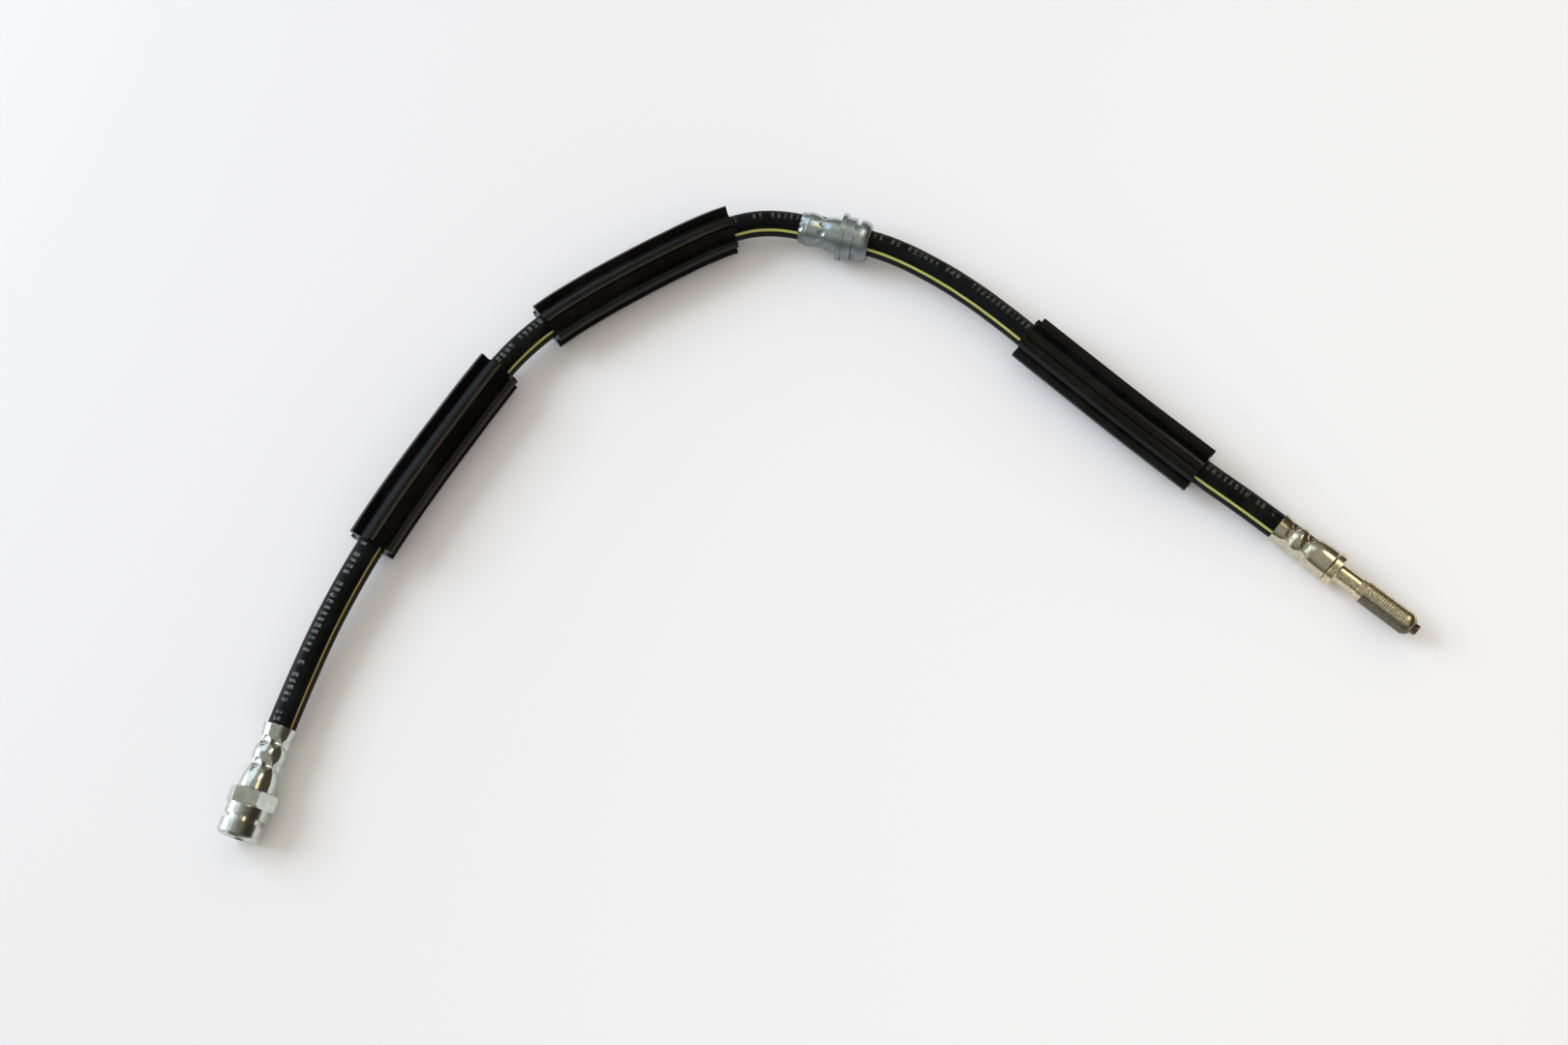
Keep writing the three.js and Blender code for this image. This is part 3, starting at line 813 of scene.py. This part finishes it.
# Female fitting
# Turned from hexagon bar and zinc plated: barbed nipple, 16 mm hexagon, a land with a groove for a
# spring clip, and a threaded socket with a cone seat at the bottom.
nipple_radius = 2.3 * mm
nipple_root_radius = 1.95 * mm
nipple_barbs = 3
barb_step = 0.05 * mm
nipple_bore_radius = 1.1 * mm
boss_radius = 3.4 * mm
hex_across_flats = 16 * mm
hex_length = 6 * mm
hex_chamfer = 0.6 * mm
hex_chamfer_rings = 6
land_radius = 7.9 * mm
land_length = 4 * mm
clip_groove_radius = 6.6 * mm
clip_groove_width = 1.8 * mm
mouth_land_length = 5.8 * mm
mouth_land_chamfer = 1.1 * mm
socket_radius = 4.15 * mm
socket_depth = 11 * mm
mouth_chamfer = 1 * mm
thread_pitch = 1.058 * mm
thread_depth = 0.5 * mm
thread_turns = 7
seat_height = 2.2 * mm
seat_base_radius = 3.1 * mm
seat_tip_radius = 1.9 * mm
seat_bore_radius = 1.5 * mm
fitting_facets = 96

fitting_start = shell_length + fit_gap
barb_pitch = (hose_end - nipple_start) / (nipple_barbs + 1)
nipple_outline = [(nipple_root_radius, nipple_start)]
for i in range(1, nipple_barbs + 1):
    nipple_outline += [
        (nipple_radius, nipple_start + i * barb_pitch),
        (nipple_root_radius, nipple_start + i * barb_pitch + barb_step),
    ]
nipple_outline += [
    (nipple_root_radius, shell_length - shell_end_wall),
    (boss_radius, shell_length - shell_end_wall),
]
groove_start = fitting_start + hex_length + land_length
mouth_land_start = groove_start + clip_groove_width
mouth = mouth_land_start + mouth_land_length
socket_floor = mouth - socket_depth
socket_thread = [
    (socket_radius + (thread_depth if i % 2 else 0), mouth - mouth_chamfer - (i + 1) * thread_pitch / 2)
    for i in range(2 * thread_turns)
]
hex_corner = hex_across_flats / 2 / math.cos(math.pi / 6)
hex_end = fitting_start + hex_length
chamfer_steps = [i / hex_chamfer_rings * hex_chamfer for i in range(hex_chamfer_rings + 1)]
fitting_outline = [
    *nipple_outline,
    (boss_radius, fitting_start),
    *[(hex_corner - hex_chamfer + step, fitting_start + step) for step in chamfer_steps],
    *[(hex_corner - hex_chamfer + step, hex_end - step) for step in reversed(chamfer_steps)],
    (land_radius, hex_end),
    (land_radius, groove_start),
    (clip_groove_radius, groove_start),
    (clip_groove_radius, mouth_land_start),
    (land_radius, mouth_land_start),
    (land_radius, mouth - mouth_land_chamfer),
    (land_radius - mouth_land_chamfer, mouth),
    (socket_radius + mouth_chamfer, mouth),
    (socket_radius, mouth - mouth_chamfer),
    *socket_thread,
    (socket_radius, socket_floor),
    (seat_base_radius, socket_floor),
    (seat_tip_radius, socket_floor + seat_height),
    (seat_bore_radius, socket_floor + seat_height),
    (seat_bore_radius, fitting_start),
    (nipple_bore_radius, fitting_start),
    (nipple_bore_radius, nipple_start),
]
fitting = turned("female_end", fitting_outline, fitting_facets)

# The six flats: what stands out past each one is pressed back to its plane.
for vertex in fitting.data.vertices:
    if vertex.co.yz.length > land_radius + edge_round and vertex.co.x < hex_end + edge_round:
        for i in range(6):
            flat = Vector((0, math.sin(i * math.pi / 3), math.cos(i * math.pi / 3)))
            excess = max(0, vertex.co.dot(flat) - hex_across_flats / 2)
            vertex.co -= flat * excess
round_edges(fitting, edge_round, 50)
put_in_place(fitting, female_rim, female_heading)
shade(fitting, 30, weighted=True)
turned_silver = (0.54, 0.57, 0.52, 1)
# The lands past the hexagon are painted darker on their upper side away from the window: a painted dark
# reflection
fitting.data.materials.append(
    plated(
        "turned_silver_zinc", silver, turned_silver, 0.16, pitch=0.16, lines=0.6, painted_shade=0.8,
        painted_shade_side=(0.5, 0.85), painted_shade_reach=(6.7 * mm, 7.5 * mm), painted_shade_start=hex_end + 0.4 * mm,
    )
)
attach(fitting, "root")
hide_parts("female_fitting")

# Male fitting
# Turned steel in yellow zinc: barbed nipple, a collar that seats against the shell, a thin neck, a
# long thread, a tapered nose and a dark tip.
male_collar_radius = 6.9 * mm
male_collar_length = 3.4 * mm
male_collar_chamfer = 0.4 * mm
neck_radius = 3.8 * mm
neck_length = 9.4 * mm
neck_fillet = 0.6 * mm
run_out_radius = 4.25 * mm
run_out_length = 1.8 * mm
thread_radius = 4.76 * mm
thread_length = 19.6 * mm
thread_chamfer = 0.9 * mm
rolled_depth = 0.12 * mm
thread_rings = 180
nose_length = 3.1 * mm
nose_radius = 2.9 * mm
tip_radius = 2.2 * mm
tip_length = 2.2 * mm
tip_chamfer = 0.3 * mm

neck_start = fitting_start + male_collar_length
run_out_start = neck_start + neck_length
thread_start = run_out_start + run_out_length
thread_end = thread_start + thread_length
tip_start = thread_end + nose_length
tip_end = tip_start + tip_length
nose_steps = 12
nose_angle = math.acos(nose_radius / thread_radius)
nose_outline = [
    (
        thread_radius * math.cos(nose_angle * i / nose_steps),
        thread_end + nose_length * math.sin(nose_angle * i / nose_steps) / math.sin(nose_angle),
    )
    for i in range(1, nose_steps + 1)
]
male_outline = [
    *nipple_outline,
    (boss_radius, fitting_start),
    (male_collar_radius - male_collar_chamfer, fitting_start),
    (male_collar_radius, fitting_start + male_collar_chamfer),
    (male_collar_radius, neck_start - male_collar_chamfer),
    (male_collar_radius - male_collar_chamfer, neck_start),
    (neck_radius + neck_fillet, neck_start),
    (neck_radius + 0.3 * neck_fillet, neck_start + 0.3 * neck_fillet),
    (neck_radius, neck_start + neck_fillet),
    (neck_radius, run_out_start),
    (run_out_radius, run_out_start),
    (run_out_radius, thread_start),
    (thread_radius, thread_start + thread_chamfer),
    *[
        (thread_radius, thread_start + thread_chamfer + i * (thread_length - thread_chamfer) / thread_rings)
        for i in range(1, thread_rings + 1)
    ],
    *nose_outline,
    (tip_radius, tip_start),
    (tip_radius, tip_end - tip_chamfer),
    (tip_radius - tip_chamfer, tip_end),
    (nipple_bore_radius, tip_end),
    (nipple_bore_radius, nipple_start),
]
male = turned("male_end", male_outline, fitting_facets)


def cut_thread(piece, radius, start, end, pitch, depth):
    """Sinks a helical groove with sloping flanks into a plain round part, fading at both ends."""
    wall_slack = 0.05 * mm
    flank_slope = 2.6
    crest_width = 0.1
    for vertex in piece.data.vertices:
        along, y, z = vertex.co
        if abs(math.hypot(y, z) - radius) < wall_slack and start < along < end:
            turn = (along / pitch - math.atan2(y, z) / (2 * math.pi)) % 1
            groove = min(1, max(0, flank_slope * (0.5 - abs(turn - 0.5)) - crest_width))
            fade = min(1, (along - start) / pitch, (end - along) / pitch)
            scale = 1 - depth * groove * fade / radius
            vertex.co = (along, y * scale, z * scale)


cut_thread(male, thread_radius, thread_start + thread_chamfer, thread_end, thread_pitch, rolled_depth)
round_edges(male, edge_round, 50)
put_in_place(male, male_rim, male_heading)
shade(male, 40, weighted=True)
bright_yellow = (0.84, 0.75, 0.51, 1)
dull_yellow = (0.50, 0.44, 0.29, 1)
# The thread, nose and tip are painted darker on their south side: painted shade
male.data.materials.append(
    plated(
        "turned_yellow_zinc", bright_yellow, dull_yellow, 0.2, blotch_size=1300.0, pitch=0.16, lines=0.5,
        painted_shade=0.85, painted_shade_side=(-1, -0.1), painted_shade_reach=(1.7 * mm, 3 * mm),
        painted_shade_start=thread_start + thread_chamfer, tip=tip_start,
    )
)
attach(male, "root")
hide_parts("male_fitting")

# Bracket collar
# One turned steel piece crimped round the middle of the hose: a waisted tail with punch marks, then
# a flange, a land, a groove for a spring clip and a tapered nose ring that fit a strut bracket.
tail_length = 16.6 * mm
tail_waist = 9.2 * mm
tail_stations = [
    (6.15 * mm, 0), (6.575 * mm, 2.1 * mm), (7 * mm, 4.2 * mm), (6.3 * mm, tail_waist),
    (7 * mm, 13 * mm), (7 * mm, tail_length),
]
flange_radius = 9.85 * mm
flange_thickness = 1.9 * mm
collar_land_radius = 8.7 * mm
collar_land_length = 3.9 * mm
collar_groove_radius = 7 * mm
collar_groove_width = 2 * mm
nose_ring_radius = 8.65 * mm
nose_ring_end_radius = 7.4 * mm
nose_ring_length = 4.5 * mm
nose_ring_taper = 2.3 * mm
collar_bore_radius = hose_radius + fit_gap
collar_punch_depth = 0.5 * mm
collar_punch_radius = 1.4 * mm
collar_punch_count = 10
collar_rim = Vector((-68.04, 143.55, 10)) * mm
collar_heading = math.radians(1)
flange_end = tail_length + flange_thickness
collar_groove_start = flange_end + collar_land_length
nose_ring_start = collar_groove_start + collar_groove_width
nose_ring_end = nose_ring_start + nose_ring_length
collar_outline = [
    *smooth_outline(tail_stations, outline_steps),
    (flange_radius, tail_length),
    (flange_radius, flange_end),
    (collar_land_radius, flange_end),
    (collar_land_radius, collar_groove_start),
    (collar_groove_radius, collar_groove_start),
    (collar_groove_radius, nose_ring_start),
    (nose_ring_radius, nose_ring_start),
    (nose_ring_radius, nose_ring_end - nose_ring_taper),
    (nose_ring_end_radius, nose_ring_end),
    (collar_bore_radius, nose_ring_end),
    (collar_bore_radius, 0),
]
collar = turned("bracket_collar", collar_outline, shell_facets)
round_edges(collar, edge_round)
for place in (0, tail_waist):
    punch(collar, place, collar_punch_depth, collar_punch_radius, collar_punch_count)
put_in_place(collar, collar_rim, collar_heading)
shade(collar, 40, weighted=True)
steel_blue = (0.52, 0.60, 0.64, 1)
steel_grey = (0.43, 0.49, 0.52, 1)
# The collar is painted darker on its lower south side: painted shade
collar.data.materials.append(
    plated("turned_steel", steel_blue, steel_grey, 0.26, pitch=0.2, lines=0.8, depth=0.02, painted_shade=0.55)
)
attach(collar, "root")
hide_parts("centre_collar")

# Studio
# A pale sheet of paper under the hose, a window on its left and even light from all round. The gloss
# of metal and rubber shows a darker room instead, with lit panes on the left and lamps overhead.
floor_size = 8
# The paper is painted darker towards the window and lighter away from it: painted shade and painted light
# that even out the window light's falloff
shaded_paper = (0.732, 0.721, 0.705, 1)
shaded_place = -0.35
lit_paper = (0.895, 0.889, 0.884, 1)
lit_place = 0.28
bpy.ops.mesh.primitive_plane_add(size=floor_size, location=(0, 0, 0))
floor = bpy.context.object
floor.name = "studio_floor"
floor_material, tree, shader = material("studio_paper")
on_paper = add(tree, "ShaderNodeTexCoord").outputs["Object"]
across = add(tree, "ShaderNodeSeparateXYZ", {0: on_paper}).outputs["X"]
paper = mixed(tree, mask(tree, across, shaded_place, lit_place), shaded_paper, lit_paper)
tree.links.new(paper, shader.inputs["Base Color"])
shader.inputs["Roughness"].default_value = 0.9
shader.inputs["Specular IOR Level"].default_value = 0.1
floor.data.materials.append(floor_material)

world = bpy.data.worlds.new("studio")
bpy.context.scene.world = world
world.use_nodes = True
tree = world.node_tree
background = tree.nodes["Background"]
looking = add(tree, "ShaderNodeTexCoord").outputs["Generated"]


def towards(azimuth, elevation):
    """Cosine of the angle from a direction, given by azimuth from +Y to +X and elevation."""
    a, e = math.radians(azimuth), math.radians(elevation)
    way = (math.sin(a) * math.cos(e), math.cos(a) * math.cos(e), math.sin(e))
    return add(tree, "ShaderNodeVectorMath", {0: looking, 1: way}, operation="DOT_PRODUCT").outputs["Value"]


# What the gloss shows, laid over the one before it: azimuth and elevation, the cosines at its outer
# edge and at its core, and its colour
low_wall = (0.12, 0.11, 0.085, 1)
ceiling = (0.42, 0.41, 0.36, 1)
glows = [
    (75, 15, 0.25, 0.85, (0.07, 0.05, 0.035, 1)),
    (64, 74, 0.965, 0.99, (0.60, 0.51, 0.26, 1)),
    (-58, 42, 0.91, 0.96, (1.15, 1.33, 1.45, 1)),
    (-95, 6, 0.82, 0.92, (1.4, 1.55, 1.6, 1)),
    (64, 74, 0.990, 0.997, (2.2, 1.9, 1.1, 1)),
    (27, 66, 0.989, 0.996, (3.2, 2.9, 2.4, 1)),
    (27, 57, 0.989, 0.996, (3.2, 2.9, 2.4, 1)),
    (-95, 12, 0.955, 0.985, (11.0, 12.0, 13.0, 1)),
]
surround = mixed(tree, mask(tree, towards(0, 90), 0.0, 0.8), low_wall, ceiling)
for azimuth, elevation, edge, core, glow in glows:
    surround = mixed(tree, mask(tree, towards(azimuth, elevation), edge, core), surround, glow)
warm_side = (0.75, 0.705, 0.64, 1)
window_side = (0.85, 0.83, 0.78, 1)
backdrop = (0.86, 0.87, 0.88, 1)
even = mixed(tree, mask(tree, towards(-95, 20), -0.9, 0.9), warm_side, window_side)
path = add(tree, "ShaderNodeLightPath").outputs
lit = mixed(tree, path["Is Glossy Ray"], even, surround)
seen = mixed(tree, path["Is Camera Ray"], lit, backdrop)
tree.links.new(seen, background.inputs["Color"])
background.inputs["Strength"].default_value = 1

bpy.ops.object.light_add(type="AREA", location=(-1.55, 0.1, 1.0))
window = bpy.context.object
window.name = "window_light"
window.rotation_mode = "QUATERNION"
window.rotation_quaternion = (-window.location).to_track_quat("-Z", "Y")
window.data.shape = "RECTANGLE"
window.data.size = 1.2
window.data.size_y = 0.9
window.data.energy = 21.5
window.data.color = (0.86, 0.97, 1.2)
window.visible_glossy = False

hose_line.hide_render = True
